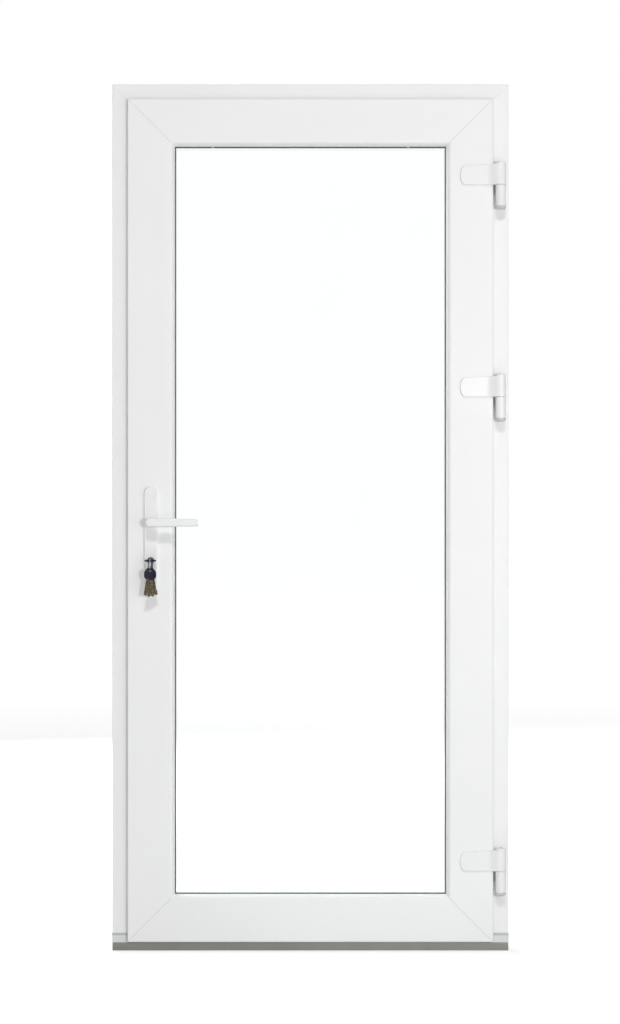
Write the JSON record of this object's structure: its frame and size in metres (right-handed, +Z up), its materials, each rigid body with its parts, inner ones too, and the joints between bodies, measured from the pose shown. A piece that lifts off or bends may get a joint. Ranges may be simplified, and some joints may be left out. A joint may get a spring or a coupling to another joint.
{
  "type": "glazed exterior door",
  "caption": "White plastic entrance door with frame, fully glazed outward-opening leaf, lever handles, surface hinges, low threshold and keys in the lock.",
  "frame": {"origin": "middle of the threshold's underside, on the floor, at the middle of the frame's width and depth", "axes": "+X to the right as seen from outside, towards the hinges; -Y to the outside; +Z up"},
  "size_m": [0.9616, 0.182, 2.1],
  "materials": {
    "white_upvc": "satin white extruded plastic",
    "handle_white": "white powder coat",
    "hinge_white": "white powder coat",
    "anodised_aluminium": "satin anodised",
    "spacer_aluminium": "plain",
    "clear_glass": "clear",
    "seal_rubber": "matt grey",
    "plated_steel": "zinc plated",
    "nickel_brass": "nickel plated brass, worn",
    "ring_steel": "spring steel wire",
    "key_plastic": "dark blue moulded"
  },
  "bodies": {
    "frame": {"frame_jamb_lock_side": "white_upvc", "frame_jamb_hinge_side": "white_upvc", "frame_head": "white_upvc", "frame_seal": "seal_rubber", "threshold": "anodised_aluminium", "threshold_connector_lock_side": "white_upvc", "threshold_connector_hinge_side": "white_upvc", "threshold_end_plate_lock_side": "anodised_aluminium", "threshold_end_plate_hinge_side": "anodised_aluminium", "hinge_lower_frame_part": "hinge_white", "hinge_middle_frame_part": "hinge_white", "hinge_upper_frame_part": "hinge_white", "keep_main": "plated_steel", "keep_lower": "plated_steel", "keep_upper": "plated_steel"},
    "leaf": {"leaf_stile_lock_side": "white_upvc", "leaf_stile_hinge_side": "white_upvc", "leaf_rail_top": "white_upvc", "leaf_rail_bottom": "white_upvc", "glass_outer_pane": "clear_glass", "glass_inner_pane": "clear_glass", "glass_spacer": "spacer_aluminium", "gasket_outer": "seal_rubber", "gasket_inner": "seal_rubber", "bead_lock_side": "white_upvc", "bead_top": "white_upvc", "bead_hinge_side": "white_upvc", "bead_bottom": "white_upvc", "leaf_seal": "seal_rubber", "bottom_brush": "seal_rubber", "lock_faceplate": "plated_steel", "latch_bolt": "plated_steel", "dead_bolt": "plated_steel", "locking_point_lower": "plated_steel", "locking_point_upper": "plated_steel", "cylinder_body": "nickel_brass", "backplate_outside": "handle_white", "backplate_inside": "handle_white", "hinge_lower_leaf_part": "hinge_white", "hinge_middle_leaf_part": "hinge_white", "hinge_upper_leaf_part": "hinge_white"},
    "handle": {"lever_outside": "handle_white", "lever_inside": "handle_white", "spindle": "plated_steel"},
    "key": {"cylinder_plug": "nickel_brass", "lock_key_blade": "nickel_brass", "lock_key_bow": "key_plastic"},
    "bunch": {"key_ring": "ring_steel", "hanging_key_bows": "key_plastic", "hanging_key_blades": "nickel_brass"}
  },
  "joints": [
    {"name": "leaf_swing", "type": "hinge", "parent": "frame", "child": "leaf", "pos_m": [0.4595, -0.0605, 1.05], "axis": [0, 0, 1], "range_deg": [0, 110]},
    {"name": "handle_turn", "type": "hinge", "parent": "leaf", "child": "handle", "pos_m": [-0.385, -0.021, 1.038], "axis": [0, 1, 0], "range_deg": [0, 40], "stiffness_Nm_per_rad": 1.5, "springref_deg": -28.65},
    {"name": "key_turn", "type": "hinge", "parent": "leaf", "child": "key", "pos_m": [-0.385, -0.07, 0.946], "axis": [0, 1, 0], "range_deg": [-45, 90]},
    {"name": "bunch_swing", "type": "hinge", "parent": "key", "child": "bunch", "pos_m": [-0.385, -0.096, 0.946], "axis": [0, 1, 0], "range_deg": [-25, 25]}
  ]
}
